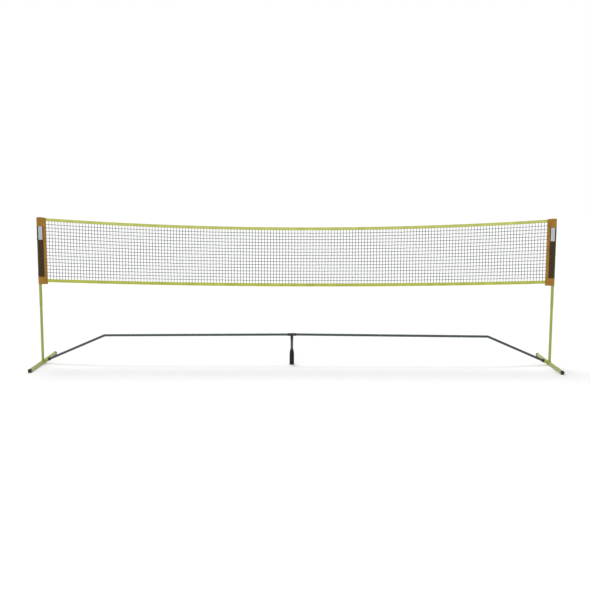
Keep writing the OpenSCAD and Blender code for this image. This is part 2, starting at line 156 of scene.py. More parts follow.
class Bag:
    """Gathers tubes, closed sheets and small copied shapes into one mesh with UVs in metres."""

    def __init__(self):
        self.points = []
        self.faces = []
        self.uvs = []
        self.count = 0

    def add(self, points, faces, uvs=None):
        base = self.count
        self.points.append(np.asarray(points, float).reshape(-1, 3))
        self.count += len(self.points[-1])
        for k, face in enumerate(faces):
            self.faces.append([base + i for i in face])
            self.uvs.append(uvs[k] if uvs is not None else [(0.0, 0.0)] * len(face))

    def grid(self, points, u=None, v=None, caps=False):
        """Tube of quads. points has the shape rings, columns, 3, and u one value more than columns."""
        rows, cols = points.shape[:2]
        u = np.arange(cols + 1) if u is None else u
        v = np.arange(rows) if v is None else v
        faces = []
        uvs = []
        for r in range(rows - 1):
            for c in range(cols):
                n = (c + 1) % cols
                faces.append((r * cols + c, r * cols + n, (r + 1) * cols + n, (r + 1) * cols + c))
                uvs.append([(u[c], v[r]), (u[c + 1], v[r]), (u[c + 1], v[r + 1]), (u[c], v[r + 1])])
        if caps:
            faces.append(tuple(reversed(range(cols))))
            faces.append(tuple(range((rows - 1) * cols, rows * cols)))
            uvs += [[(0.0, 0.0)] * cols] * 2
        self.add(points, faces, uvs)

    def shell(self, outer, inner, u, v):
        """Closed sheet between two open grids of the same shape."""
        rows, cols = outer.shape[:2]
        half = rows * cols
        faces = []
        uvs = []
        for r in range(rows - 1):
            for c in range(cols - 1):
                quad = (r * cols + c, r * cols + c + 1, (r + 1) * cols + c + 1, (r + 1) * cols + c)
                square = [(u[c], v[r]), (u[c + 1], v[r]), (u[c + 1], v[r + 1]), (u[c], v[r + 1])]
                faces += [quad, tuple(half + i for i in reversed(quad))]
                uvs += [square, list(reversed(square))]
        rim = list(range(cols))
        rim += [r * cols + cols - 1 for r in range(1, rows)]
        rim += [(rows - 1) * cols + c for c in range(cols - 2, -1, -1)]
        rim += [r * cols for r in range(rows - 2, 0, -1)]
        for a, b in zip(rim, rim[1:] + rim[:1]):
            faces.append((b, a, half + a, half + b))
            uvs.append([(u[i % cols], v[i // cols]) for i in (b, a, a, b)])
        self.add(np.concatenate([outer.reshape(-1, 3), inner.reshape(-1, 3)]), faces, uvs)

    def piece(self, name, material, body, replaces=()):
        """Object made of what was gathered, which rides on a body in place of CAD nodes."""
        mesh = bpy.data.meshes.new(name)
        mesh.from_pydata(np.concatenate(self.points).tolist(), [], self.faces)
        layer = mesh.uv_layers.new(name="UVMap")
        flat = np.array([c for face in self.uvs for uv in face for c in uv], np.float32)
        layer.data.foreach_set("uv", flat)
        mesh.validate()
        bm = bmesh.new()
        bm.from_mesh(mesh)
        bmesh.ops.remove_doubles(bm, verts=bm.verts, dist=SAME_PLACE)
        bmesh.ops.recalc_face_normals(bm, faces=bm.faces)
        bm.to_mesh(mesh)
        bm.free()
        mesh.shade_smooth()
        mesh.materials.append(material)
        obj = bpy.data.objects.new(name, mesh)
        bpy.context.scene.collection.objects.link(obj)
        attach(obj, body)
        if replaces:
            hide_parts(*replaces)
        return obj


def unit(v):
    return v / np.maximum(np.linalg.norm(v, axis=-1, keepdims=True), 1e-12)


def tube_rings(path, radius, sides, up=(0, 1, 0)):
    """Rings of a round tube along a path in a plane whose normal is up."""
    path = np.asarray(path, float)
    tangent = unit(np.gradient(path, axis=0))
    across = unit(np.cross(tangent, np.array(up, float)))
    lift = np.cross(across, tangent)
    angle = np.arange(sides) * TAU / sides
    radius = np.broadcast_to(np.asarray(radius, float), (len(path),))
    ring = np.cos(angle)[None, :, None] * across[:, None] + np.sin(angle)[None, :, None] * lift[:, None]
    return path[:, None] + ring * radius[:, None, None]


def path_length(path):
    """Distance along a path at each of its points."""
    steps = np.linalg.norm(np.diff(path, axis=0), axis=1)
    return np.concatenate([[0.0], np.cumsum(steps)])


def add_tube(bag, path, radius, sides):
    """Closed rod along a path, with UVs that run around and along it in metres."""
    around = np.arange(sides + 1) / sides * TAU * radius
    bag.grid(tube_rings(path, radius, sides), around, path_length(path), caps=True)


def add_lathe(bag, profile, centre, sides):
    """Turns a closed outline of (radius, height) pairs around a vertical axis."""
    profile = np.array(profile, float)
    angle = np.arange(sides) * TAU / sides
    x = profile[:, None, 0] * np.cos(angle)[None]
    y = profile[:, None, 0] * np.sin(angle)[None]
    z = np.broadcast_to(profile[:, None, 1], x.shape)
    points = np.stack([x, y, z], -1) + np.array(centre, float)
    around = np.arange(sides + 1) / sides * TAU * float(profile[:, 0].max())
    along = path_length(np.append(profile, profile[:1], 0))
    bag.grid(np.concatenate([points, points[:1]]), around, along)


def add_stitches(bag, path, normals, pitch=9 * MM, length=6.5 * MM, width=1.5 * MM, proud=0.9 * MM):
    """Row of thread stitches laid on a surface along a path."""
    path = np.asarray(path, float)
    along = path_length(path)
    count = max(2, int(along[-1] / pitch))
    where = (np.arange(count) + 0.5) * along[-1] / count

    def sample(values, distance):
        return np.stack([np.interp(distance, along, values[:, k]) for k in range(3)], -1)

    centre = sample(path, where)
    normal = unit(sample(normals, where))
    tangent = unit(sample(path, where + pitch / 3) - sample(path, where - pitch / 3))
    side = np.cross(normal, tangent)
    faces = [(0, 2, 4), (2, 1, 4), (1, 3, 4), (3, 0, 4), (2, 0, 5), (1, 2, 5), (3, 1, 5), (0, 3, 5)]
    for c, t, s, n in zip(centre, tangent, side, normal):
        bag.add([c - t * length / 2, c + t * length / 2, c - s * width / 2, c + s * width / 2,
                 c + n * proud, c - n * proud], faces)


def softened(node, slot, width):
    """Copy of a CAD node with its sharp edges rounded, which stands in for that node."""
    mesh = frame["nodes"][node].data.copy()
    mesh.name = node + "_rounded"
    bm = bmesh.new()
    bm.from_mesh(mesh)
    bmesh.ops.remove_doubles(bm, verts=bm.verts, dist=10 * SAME_PLACE)
    bmesh.ops.dissolve_limit(bm, angle_limit=FLAT_ANGLE, verts=bm.verts, edges=bm.edges)
    sharp = [e for e in bm.edges if len(e.link_faces) == 2 and e.calc_face_angle(0) > CORNER_ANGLE]
    bmesh.ops.bevel(bm, geom=sharp, offset=width, segments=3, profile=0.5, affect="EDGES",
                    clamp_overlap=True)
    bmesh.ops.triangulate(bm, faces=[f for f in bm.faces if len(f.verts) > 4])
    bm.to_mesh(mesh)
    bm.free()
    mesh.materials.clear()
    mesh.materials.append(MATERIALS[slot])
    mesh.shade_smooth()
    obj = bpy.data.objects.new(node + "_rounded", mesh)
    bpy.context.scene.collection.objects.link(obj)
    mesh.set_sharp_from_angle(angle=CREASE_ANGLE)
    body = next(b for b, names in frame["record"]["behaviour"]["bodies"].items() if node in names)
    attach(obj, body)
    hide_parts(node)


# ---- materials ------------------------------------------------------------------------


def srgb(r, g, b):
    def linear(c):
        c /= 255
        return c / 12.92 if c <= 0.04045 else ((c + 0.055) / 1.055) ** 2.4
    return (linear(r), linear(g), linear(b), 1.0)


class Finish:
    """Node material with one Principled shader, and short calls for the nodes that feed it."""

    def __init__(self, name, **inputs):
        self.material = bpy.data.materials.new(name)
        self.material.use_nodes = True
        self.tree = self.material.node_tree
        self.shader = self.tree.nodes["Principled BSDF"]
        for key, value in inputs.items():
            self.shader.inputs[key.replace("_", " ")].default_value = value
        self.coords = self.tree.nodes.new("ShaderNodeTexCoord")
        self.bump = None

    def link(self, source, node, key):
        self.tree.links.new(source, node.inputs[key])

    def mapped(self, space, scale):
        node = self.tree.nodes.new("ShaderNodeMapping")
        node.inputs["Scale"].default_value = scale
        self.link(self.coords.outputs[space], node, "Vector")
        return node.outputs["Vector"]

    def noise(self, vector, scale, detail=3.0, rough=0.55):
        node = self.tree.nodes.new("ShaderNodeTexNoise")
        node.inputs["Scale"].default_value = scale
        node.inputs["Detail"].default_value = detail
        node.inputs["Roughness"].default_value = rough
        self.link(vector, node, "Vector")
        return node.outputs["Fac"]

    def wave(self, vector, period, direction, distort):
        """Bands with the given period in metres; at scale 1 the node turns 20 radians in a metre."""
        node = self.tree.nodes.new("ShaderNodeTexWave")
        node.bands_direction = direction
        node.inputs["Scale"].default_value = TAU / (20 * period)
        node.inputs["Distortion"].default_value = distort
        self.link(vector, node, "Vector")
        return node.outputs["Fac"]

    def maths(self, operation, a, b):
        node = self.tree.nodes.new("ShaderNodeMath")
        node.operation = operation
        for k, value in enumerate((a, b)):
            if isinstance(value, (int, float)):
                node.inputs[k].default_value = value
            else:
                self.link(value, node, k)
        return node.outputs[0]

    def ramp(self, value, low, high, a=0.0, b=1.0):
        node = self.tree.nodes.new("ShaderNodeMapRange")
        node.inputs["From Min"].default_value = low
        node.inputs["From Max"].default_value = high
        node.inputs["To Min"].default_value = a
        node.inputs["To Max"].default_value = b
        self.link(value, node, "Value")
        return node.outputs["Result"]

    def mix(self, factor, a, b):
        """Colour between a and b. The node has sockets for each data type, so they go by number."""
        node = self.tree.nodes.new("ShaderNodeMix")
        node.data_type = "RGBA"
        factor_in, a_in, b_in, colour_out = 0, 6, 7, 2
        self.link(factor, node, factor_in)
        for socket, value in ((a_in, a), (b_in, b)):
            if isinstance(value, tuple):
                node.inputs[socket].default_value = value
            else:
                self.link(value, node, socket)
        return node.outputs[colour_out]

    def colour(self, value):
        self.link(value, self.shader, "Base Color")

    def roughness(self, value):
        self.link(value, self.shader, "Roughness")

    def relief(self, height, distance, strength):
        node = self.tree.nodes.new("ShaderNodeBump")
        node.inputs["Distance"].default_value = distance
        node.inputs["Strength"].default_value = strength
        self.link(height, node, "Height")
        if self.bump is not None:
            self.link(self.bump, node, "Normal")
        self.bump = node.outputs["Normal"]
        self.link(self.bump, self.shader, "Normal")


def shade(colour, factor):
    return tuple(c * factor for c in colour[:3]) + (1.0,)


def painted(name, colour, rough, coat):
    """Powder-coated steel: slight tone drift, orange-peel skin, fine scratches and rubbed spots."""
    f = Finish(name, Roughness=rough, Coat_Weight=coat, Coat_Roughness=0.18, Specular_IOR_Level=0.5)
    spot = f.mapped("Object", (1, 1, 1))
    drift = f.ramp(f.noise(spot, 2.3), 0.3, 0.7)
    tone = f.mix(drift, shade(colour, 0.9), shade(colour, 1.07))
    scratch = f.noise(f.mapped("Object", (700, 700, 26)), 1.0, 2.0)
    scratch = f.ramp(scratch, 0.70, 0.76)
    patch = f.ramp(f.noise(spot, 9.0), 0.5, 0.62)
    worn = f.maths("MULTIPLY", scratch, patch)
    f.colour(f.mix(worn, tone, shade(colour, 0.62)))
    f.roughness(f.ramp(f.noise(spot, 30.0), 0.25, 0.75, rough - 0.06, rough + 0.12))
    f.relief(f.noise(spot, 420.0, 2.0), 0.25 * MM, 0.35)
    f.relief(worn, -0.12 * MM, 0.8)
    return f.material


def woven(name, colour, thread, rough=0.8, sheen=0.35, fade=0.12):
    """Plain-woven cloth: threads over and under at their real pitch, tone drift and fuzz, with painted
    shade in the gaps between threads and a painted highlight on the thread tops.
    """
    f = Finish(name, Roughness=rough, Sheen_Weight=sheen, Sheen_Roughness=0.5, Specular_IOR_Level=0.25)
    flat = f.mapped("UV", (1, 1, 1))
    warp = f.wave(flat, thread, "X", 0.3)
    weft = f.wave(flat, thread, "Y", 0.3)
    checker = f.maths("MULTIPLY", f.maths("SUBTRACT", warp, 0.5), f.maths("SUBTRACT", weft, 0.5))
    threads = f.maths("ADD", f.maths("MULTIPLY", checker, 2.0), f.maths("MAXIMUM", warp, weft))
    spot = f.mapped("Object", (1, 1, 1))
    drift = f.ramp(f.noise(spot, 7.0), 0.3, 0.7, 1 - fade, 1 + fade)
    # painted shade and highlight: the colour is darker where the threads dip and lighter on their tops,
    # in step with the thread relief
    painted_weave_shade = f.ramp(threads, 0.0, 1.4, 0.82, 1.08)
    tone = f.maths("MULTIPLY", drift, painted_weave_shade)
    f.colour(f.mix(f.ramp(tone, 0.65, 1.25), shade(colour, 0.65), shade(colour, 1.25)))
    f.relief(f.noise(spot, 1400.0, 2.0), 0.2 * MM, 0.4)
    f.relief(threads, thread * 0.25, 0.8)
    return f.material


def twisted(name, colour, lay):
    """Twisted twine or thread: slanting strands from UVs that run around and along it, with painted
    shade in the grooves between strands.
    """
    f = Finish(name, Roughness=0.7, Sheen_Weight=0.3, Specular_IOR_Level=0.3)
    strands = f.wave(f.mapped("UV", (1, 1, 1)), lay, "DIAGONAL", 0.4)
    drift = f.ramp(f.noise(f.mapped("Object", (1, 1, 1)), 11.0), 0.3, 0.7)
    tone = f.mix(drift, shade(colour, 0.8), shade(colour, 1.25))
    # painted shade: the colour is darker in the grooves between strands, in step with the strand relief
    f.colour(f.mix(f.ramp(strands, 0.1, 0.5), shade(colour, 0.6), tone))
    f.relief(strands, lay * 0.3, 0.8)
    return f.material


def moulded(name, colour, rough, grain=900.0, dust=0.25):
    """Moulded plastic or rubber: fine spark-eroded grain, handling marks and dust low down."""
    f = Finish(name, Roughness=rough, Specular_IOR_Level=0.4)
    spot = f.mapped("Object", (1, 1, 1))
    marks = f.ramp(f.noise(spot, 45.0, 6.0, 0.7), 0.42, 0.72)
    tone = f.mix(marks, shade(colour, 0.9), shade(colour, 1.35))
    height = f.tree.nodes.new("ShaderNodeSeparateXYZ")
    f.link(f.coords.outputs["Object"], height, 0)
    low = f.ramp(height.outputs["Z"], 0.03, 0.0, 0.0, dust)
    f.colour(f.mix(f.maths("MULTIPLY", low, marks), tone, srgb(150, 146, 136)))
    f.roughness(f.ramp(f.noise(spot, 60.0), 0.3, 0.7, rough - 0.08, rough + 0.1))
    f.relief(f.noise(spot, grain, 2.0), 0.3 * MM, 0.45)
    return f.material


def steel(name, colour):
    """Zinc-plated spring steel with drawn lines along it."""
    f = Finish(name, Roughness=0.32, Metallic=1.0)
    lines = f.noise(f.mapped("Object", (60, 1600, 1600)), 1.0, 3.0)
    f.colour(f.mix(f.ramp(lines, 0.3, 0.7), shade(colour, 0.85), shade(colour, 1.1)))
    f.roughness(f.ramp(lines, 0.2, 0.8, 0.24, 0.42))
    f.relief(lines, 0.05 * MM, 0.3)
    return f.material


LIME = srgb(156, 163, 63)
DARK = srgb(53, 64, 68)
MATERIALS = {
    "lime_paint": painted("lime_paint", LIME, 0.36, 0.35),
    "dark_paint": painted("dark_paint", DARK, 0.42, 0.2),
    "black_plastic": moulded("black_plastic", srgb(34, 34, 33), 0.5),
    "black_rubber": moulded("black_rubber", srgb(14, 20, 21), 0.75, 500.0, 0.4),
    "lime_plastic": moulded("lime_plastic", srgb(150, 155, 66), 0.45),
    "spring_steel": steel("spring_steel", (0.56, 0.57, 0.58, 1.0)),
    "net_twine": twisted("net_twine", srgb(32, 64, 64), 3.4 * MM),
    "yellow_tape": woven("yellow_tape", srgb(199, 206, 110), 2.0 * MM),
    "white_cord": twisted("white_cord", srgb(222, 221, 212), 2.5 * MM),
    "orange_cloth": woven("orange_cloth", srgb(163, 116, 38), 2.2 * MM),
    "black_cloth": woven("black_cloth", srgb(64, 46, 16), 2.4 * MM),
    "label_cloth": woven("label_cloth", srgb(192, 194, 195), 0.7 * MM, 0.5, 0.1, 0.03),
}
LOW_TAPE_CLOTH = woven("low_tape_cloth", srgb(189, 195, 82), 2.0 * MM)
LIME_THREAD = twisted("lime_thread", srgb(150, 158, 48), 0.9 * MM)
ORANGE_THREAD = twisted("orange_thread", srgb(196, 132, 58), 0.9 * MM)
DARK_THREAD = twisted("dark_thread", srgb(40, 34, 26), 0.9 * MM)

SLOT = {part["node"]: part["material_slot"] for part in frame["record"]["subparts"]}
for name, node in frame["nodes"].items():
    node.data.materials.clear()
    node.data.materials.append(MATERIALS[SLOT[name]])

# ---- net: knotted twine ---------------------------------------------------------------


def net_knots(columns, rows, rng):
    """Places of the knots: even cells that hang with the tapes, each a little off its place."""
    share = np.linspace(-1, 1, columns)
    x = NET_SIDE * share
    low = low_curve(x) + LOW_TAPE_H / 2 - SEWN_IN
    high = top_curve(x) - TOP_TAPE_H / 2 + SEWN_IN
    level = np.linspace(0, 1, rows)
    z = low[:, None] + (high - low)[:, None] * level[None]
    knots = np.stack([np.repeat(x[:, None], rows, 1), np.zeros_like(z), z], -1)
    drift = rng.normal(0, 1, knots.shape) * KNOT_DRIFT
    billow = np.sin(x * 2.1)[:, None] * np.sin(level * math.pi)[None] * 1.2 * MM
    inner = np.ones((columns, rows))
    inner[0] = inner[-1] = 0
    inner[:, 0] = inner[:, -1] = 0
    knots += drift * inner[..., None]
    knots[..., 1] += billow
    return knots


def strand(knots, rng, sag):
    """Path through a row of knots, with the twine slightly slack between them."""
    middle = (knots[:-1] + knots[1:]) / 2 + rng.normal(0, TWINE_SLACK, (len(knots) - 1, 3))
    middle[:, 2] -= sag
    path = np.empty((2 * len(knots) - 1, 3))
    path[0::2] = knots
    path[1::2] = middle
    return path


def knot_shape():
    """Closed lump of a sheet-bend knot: a ball with four lobes, as points and faces."""
    around = 8
    levels = 5
    points = [(0, 0, 1)]
    for i in range(1, levels):
        polar = math.pi * i / levels
        for j in range(around):
            turn = TAU * j / around
            r = 1 + 0.16 * math.cos(4 * turn) * math.sin(polar)
            level = r * math.sin(polar)
            points.append((level * math.cos(turn), level * math.sin(turn), r * math.cos(polar)))
    points.append((0, 0, -1))
    faces = [(0, 1 + j, 1 + (j + 1) % around) for j in range(around)]
    for i in range(levels - 2):
        for j in range(around):
            a = 1 + i * around + j
            b = 1 + i * around + (j + 1) % around
            faces.append((a, a + around, b + around, b))
    last = len(points) - 1
    start = last - around
    faces += [(last, start + (j + 1) % around, start + j) for j in range(around)]
    return np.array(points), faces


def build_net():
    """Mesh of upright and level twines, with a knot at each crossing inside the border."""
    rng = np.random.default_rng(11)
    columns = round(2 * NET_SIDE / CELL_W) + 1
    height = TOP_TAPE_Z - LOW_TAPE_Z - (TOP_TAPE_H + LOW_TAPE_H) / 2
    rows = round(height / CELL_H) + 1
    knots = net_knots(columns, rows, rng)
    bag = Bag()
    for c in range(columns):
        add_tube(bag, strand(knots[c], rng, 0.0), TWINE_R, 6)
    for r in range(1, rows - 1):
        add_tube(bag, strand(knots[:, r], rng, TWINE_SAG), TWINE_R, 6)
    shape, faces = knot_shape()
    for c in range(1, columns - 1):
        for r in range(1, rows - 1):
            turn = rng.uniform(0, math.pi)
            spin = np.array([[math.cos(turn), 0, math.sin(turn)], [0, 1, 0],
                             [-math.sin(turn), 0, math.cos(turn)]])
            size = KNOT_SIZE * rng.uniform(0.9, 1.1)
            bag.add(shape[:, [0, 2, 1]] * size @ spin.T + knots[c, r], faces)
    bag.piece("net_mesh_twine", MATERIALS["net_twine"], "net", replaces=["net_mesh"])


# ---- tapes: webbing folded over a cord --------------------------------------------------


def tape_profile(height, cord_up):
    """Outline of the folded webbing in (y, z): a round fold over the cord, then two flat layers."""
    flat = WEBBING_HALF_T
    lip = 3.3 * MM
    half = height / 2
    fold = [(FOLD_R * math.sin(a), half - FOLD_R + FOLD_R * math.cos(a))
            for a in np.linspace(-2.1, 2.1, 13)]
    down = [(flat, half - 14 * MM), (flat, 0.0), (flat, -half + 7 * MM), (lip, -half + 4 * MM),
            (lip, -half + 1 * MM), (lip * 0.6, -half)]
    profile = fold + down + [(-y, z) for y, z in reversed(down)]
    if not cord_up:
        profile = [(y, -z) for y, z in profile]
    return np.array(profile)


def build_tape(name, curve, height, cord_up, seed, cloth):
    """Tape with its thread and cord: it sways a little, and its free edge scallops between meshes."""
    rng = random.Random(seed)
    waves = [(rng.uniform(4, 19), rng.uniform(0, TAU), rng.uniform(0.3, 1.0)) for _ in range(7)]
    x = np.linspace(-NET_SIDE, NET_SIDE, TAPE_STEPS)
    profile = tape_profile(height, cord_up)

    def sway(x, loose):
        total = sum(a * np.sin(k * x + p + 1.5 * loose) for k, p, a in waves)
        return total * 0.7 * MM * (1 - (x / NET_SIDE) ** 8)

    def scallop(x):
        return 0.9 * MM * np.cos(TAU * x / CELL_W)

    free = 1 if cord_up else -1

    def looseness(z):
        return np.clip(0.5 - z * free / height, 0, 1)

    loose = looseness(profile[:, 1])
    points = np.zeros((len(x), len(profile), 3))
    points[..., 0] = x[:, None]
    points[..., 1] = profile[None, :, 0] + sway(x[:, None], loose[None])
    points[..., 2] = curve(x)[:, None] + profile[None, :, 1] + scallop(x)[:, None] * loose[None] * free
    girth = path_length(np.append(profile, profile[:1], 0))
    bag = Bag()
    bag.grid(points, girth, x, caps=True)
    bag.piece(name + "_webbing", cloth, "net", replaces=[name])
    thread = Bag()
    for face in (-1, 1):
        for below_fold in (height / 2 - 15 * MM, -height / 2 + 9 * MM):
            z = free * below_fold
            loose = looseness(z)
            y = face * (WEBBING_HALF_T + 0.1 * MM) + sway(x, loose)
            path = np.stack([x, y, curve(x) + z + scallop(x) * loose * free], -1)
            normals = np.tile([0.0, face, 0.0], (len(x), 1))
            add_stitches(thread, path, normals)
    thread.piece(name + "_stitching", LIME_THREAD, "net")
    cord = Bag()
    centre = free * (height / 2 - FOLD_R)
    path = np.stack([x, sway(x, 0.0), curve(x) + centre], -1)
    add_tube(cord, path, CORD_R, 8)
    cord_node = "top_cord" if cord_up else "bottom_cord"
    cord.piece(cord_node + "_rope", MATERIALS["white_cord"], "net", replaces=[cord_node])


# ---- sleeves: cloth wrapped around the poles --------------------------------------------


class Outline:
    """Sleeve's cross-section by arc length: x runs from the pole axis towards the net."""

    def __init__(self):
        reach = SLEEVE_REACH - FLAP_R
        self.reach = reach
        self.lean = math.asin((SLEEVE_R - FLAP_R) / reach)
        self.tip = FLAP_R * (math.pi / 2 - self.lean)
        self.side = reach * math.cos(self.lean)
        self.round = SLEEVE_R * (math.pi + 2 * self.lean)
        self.length = 2 * self.tip + 2 * self.side + self.round

    def at(self, t):
        """Point and outward normal at the lengths t, front side (-y) first."""
        t = np.asarray(t, float) % self.length
        mirror = np.where(t > self.length / 2, -1.0, 1.0)
        s = np.where(t > self.length / 2, self.length - t, t)
        tip = s < self.tip
        side = (s >= self.tip) & (s < self.tip + self.side)
        a_tip = s / FLAP_R
        a_round = math.pi / 2 - self.lean + (s - self.tip - self.side) / SLEEVE_R
        angle = np.where(tip, a_tip, np.where(side, math.pi / 2 - self.lean, a_round))
        nx = np.cos(angle)
        ny = -np.sin(angle)
        run = np.clip(s - self.tip, 0, self.side)
        on_side = self.tip + self.side
        x = np.where(s < on_side, self.reach + FLAP_R * nx - run * math.cos(self.lean), SLEEVE_R * nx)
        y = np.where(s < on_side, FLAP_R * ny - run * math.sin(self.lean), SLEEVE_R * ny)
        return x, y * mirror, nx, ny * mirror

    def front(self, x):
        """Length t at which the front side passes x."""
        edge = self.reach + FLAP_R * math.sin(self.lean)
        if x > SLEEVE_R * math.sin(self.lean):
            return self.tip + (edge - x) / math.cos(self.lean)
        turn = math.acos(x / SLEEVE_R) - (math.pi / 2 - self.lean)
        return self.tip + self.side + SLEEVE_R * turn


OUTLINE = Outline()


def sewn_height(edge, seam_at):
    """Height of a sewn layer, as a share of its thickness: a turned-in rim and a dip at the seam."""
    rim = np.sqrt(np.clip(edge / (2 * MM), 0, 1)) * 0.7 + 0.3
    return rim - 0.45 * np.exp(-((edge - seam_at) / (2 * MM)) ** 2)


class Sleeve:
    """One side sleeve; side is -1 on the left and 1 on the right."""

    def __init__(self, side):
        self.side = side
        self.word = "left" if side < 0 else "right"
        rng = random.Random(31 + side)
        self.waves = [(rng.uniform(12, 60), rng.uniform(-0.5, 0.5), rng.uniform(0, TAU),
                       rng.uniform(0.25, 1.0)) for _ in range(9)]
        self.creases = [self.loose_crease(rng) for _ in range(LOOSE_CREASES)]
        for corner in (TOP_TAPE_Z, LOW_TAPE_Z):
            self.creases += [self.pulled_crease(rng, corner) for _ in range(PULLED_CREASES)]

    @staticmethod
    def loose_crease(rng):
        """Small fold that the cloth makes where it has slid down the pole, mostly level."""
        return (rng.uniform(0.02, OUTLINE.length - 0.02), rng.uniform(SLEEVE_LOW, SLEEVE_TOP),
                rng.gauss(0, 0.45), rng.uniform(0.018, 0.06), rng.uniform(4, 9) * MM,
                rng.uniform(0.9, 3.4) * MM)

    @staticmethod
    def pulled_crease(rng, corner):
        """Fold that runs out from the place where a tape pulls on the sleeve."""
        angle = rng.uniform(-1.2, 1.2)
        far = rng.uniform(0.03, 0.09)
        t = far * math.cos(angle)
        t = OUTLINE.length - t if rng.random() < 0.5 else t
        lean = angle if t < OUTLINE.length / 2 else -angle
        return (t, corner + far * math.sin(angle), lean, rng.uniform(0.02, 0.05),
                rng.uniform(3.5, 6) * MM, rng.uniform(1.2, 3.2) * MM)

    def ripple(self, t, x, z):
        """How far the cloth stands off its even shape: soft waves, and creases that stand proud."""
        along = sum(a * np.sin(k * (z + lean * t) + p) for k, lean, p, a in self.waves) / 3
        off_pole = np.clip((x - 10 * MM) / (60 * MM), 0, 1)
        off_seam = np.clip((SLEEVE_REACH - x) / (20 * MM), 0.2, 1)
        folds = np.zeros_like(z)
        for t0, z0, turn, length, width, height in self.creases:
            near = np.abs(z - z0) < 2.5 * length + 3 * width
            if not near.any():
                continue
            dt = (t[near] - t0 + OUTLINE.length / 2) % OUTLINE.length - OUTLINE.length / 2
            dz = z[near] - z0
            run = (dt * math.cos(turn) + dz * math.sin(turn)) / length
            across = (dz * math.cos(turn) - dt * math.sin(turn) - 0.006 * run * run) / width
            folds[near] += height * np.exp(-run * run - across * across)
        tip = np.clip((SLEEVE_REACH - x) / (12 * MM), 0.25, 1)
        return 1.6 * MM * along * off_pole * off_seam + np.minimum(folds, CREASE_LIMIT) * tip

    def place(self, t, z, offset):
        """Points of the cloth at the lengths t and heights z, offset outwards from its even shape."""
        t, z = np.broadcast_arrays(np.asarray(t, float), np.asarray(z, float))
        x, y, nx, ny = OUTLINE.at(t)
        off = offset + self.ripple(t % OUTLINE.length, x, z)
        high = np.clip((z - SLEEVE_TOP + 0.15) / 0.15, 0, 1)
        z = z - TOP_DROOP * np.clip(x / SLEEVE_REACH, 0, 1) ** 2 * high
        return np.stack([self.side * (POLE_X - x - nx * off), y + ny * off, z], -1)

    def normal(self, t):
        nx, ny = OUTLINE.at(t)[2:]
        return np.stack([-self.side * nx, ny, np.zeros_like(nx)], -1)

    def build_body(self):
        """Closed cloth body, from the end of the pole's tunnel over the hem and outside to the top."""
        t = np.arange(SLEEVE_COLUMNS) / SLEEVE_COLUMNS * OUTLINE.length
        z = np.linspace(SLEEVE_LOW, SLEEVE_TOP - 4 * MM, SLEEVE_ROWS)
        outer = self.place(t[None], z[:, None], 0.0)
        crown = []
        middle = np.array([self.side * (POLE_X - 50 * MM), 0])
        for drop, shrink in ((1.2 * MM, 0.985), (0.2 * MM, 0.9), (0.0, 0.5), (0.0, 0.02)):
            ring = self.place(t, SLEEVE_TOP - drop, -1 * MM)
            ring[:, :2] = middle + (ring[:, :2] - middle) * shrink
            crown.append(ring)
        x, y = OUTLINE.at(t)[:2]
        turn = np.arctan2(y, x)
        tunnel = []
        for height, radius in ((SLEEVE_LOW + 2 * MM, TUNNEL_R + 1.5 * MM),
                               (SLEEVE_LOW + 5 * MM, TUNNEL_R),
                               (TUNNEL_TOP, TUNNEL_R),
                               (TUNNEL_TOP, TUNNEL_R * 0.02)):
            tunnel.append(np.stack([self.side * (POLE_X - radius * np.cos(turn)), radius * np.sin(turn),
                                    np.full_like(turn, height)], -1))
        hem = self.place(t, SLEEVE_LOW, -1.5 * MM)
        rings = np.concatenate([np.array(tunnel[::-1]), hem[None], outer, np.array(crown)])
        hem_v = 1.03
        below = [0, 0.02, 1.0, 1.01, hem_v]
        above = z[-1] - z[0] + hem_v + np.array([0.003, 0.006, 0.03, 0.06])
        v = np.concatenate([below, z - z[0] + hem_v, above])
        bag = Bag()
        bag.grid(rings, np.append(t, OUTLINE.length), v, caps=True)
        bag.piece(self.word + "_sleeve_cloth", MATERIALS["orange_cloth"], "net",
                  replaces=[self.word + "_sleeve"])

    def patch(self, bag, t0, t1, z0, z1, offset, thick):
        """Sewn-on layer between two lengths of the outline, thinner along its turned edges."""
        t = np.linspace(t0, t1, max(6, int((t1 - t0) / (3.5 * MM))))
        z = np.linspace(z0, z1, max(6, int((z1 - z0) / CLOTH_STEP)))
        edge = np.minimum(np.minimum(t - t0, t1 - t)[None], np.minimum(z - z0, z1 - z)[:, None])
        outer = self.place(t[None], z[:, None], offset + thick * sewn_height(edge, 7 * MM))
        inner = self.place(t[None], z[:, None], offset - SUNK)
        bag.shell(outer, inner, t, z)

    def band(self, bag, z0, z1, thick):
        """Sewn-on layer around the whole sleeve."""
        t = np.arange(SLEEVE_COLUMNS) / SLEEVE_COLUMNS * OUTLINE.length
        z = np.linspace(z0, z1, max(6, int((z1 - z0) / CLOTH_STEP)))
        edge = np.minimum(z - z0, z1 - z)
        outer = self.place(t[None], z[:, None], thick * sewn_height(edge, 8 * MM)[:, None])
        inner = self.place(t[None], z[:, None], -SUNK)
        rings = np.concatenate([inner[::-1], outer])
        bag.grid(rings, np.append(t, OUTLINE.length), np.concatenate([z[::-1] - 2, z]))
        rim = np.stack([outer[-1], inner[-1]])
        bag.grid(rim, np.append(t, OUTLINE.length), np.array([0, 0.002]))

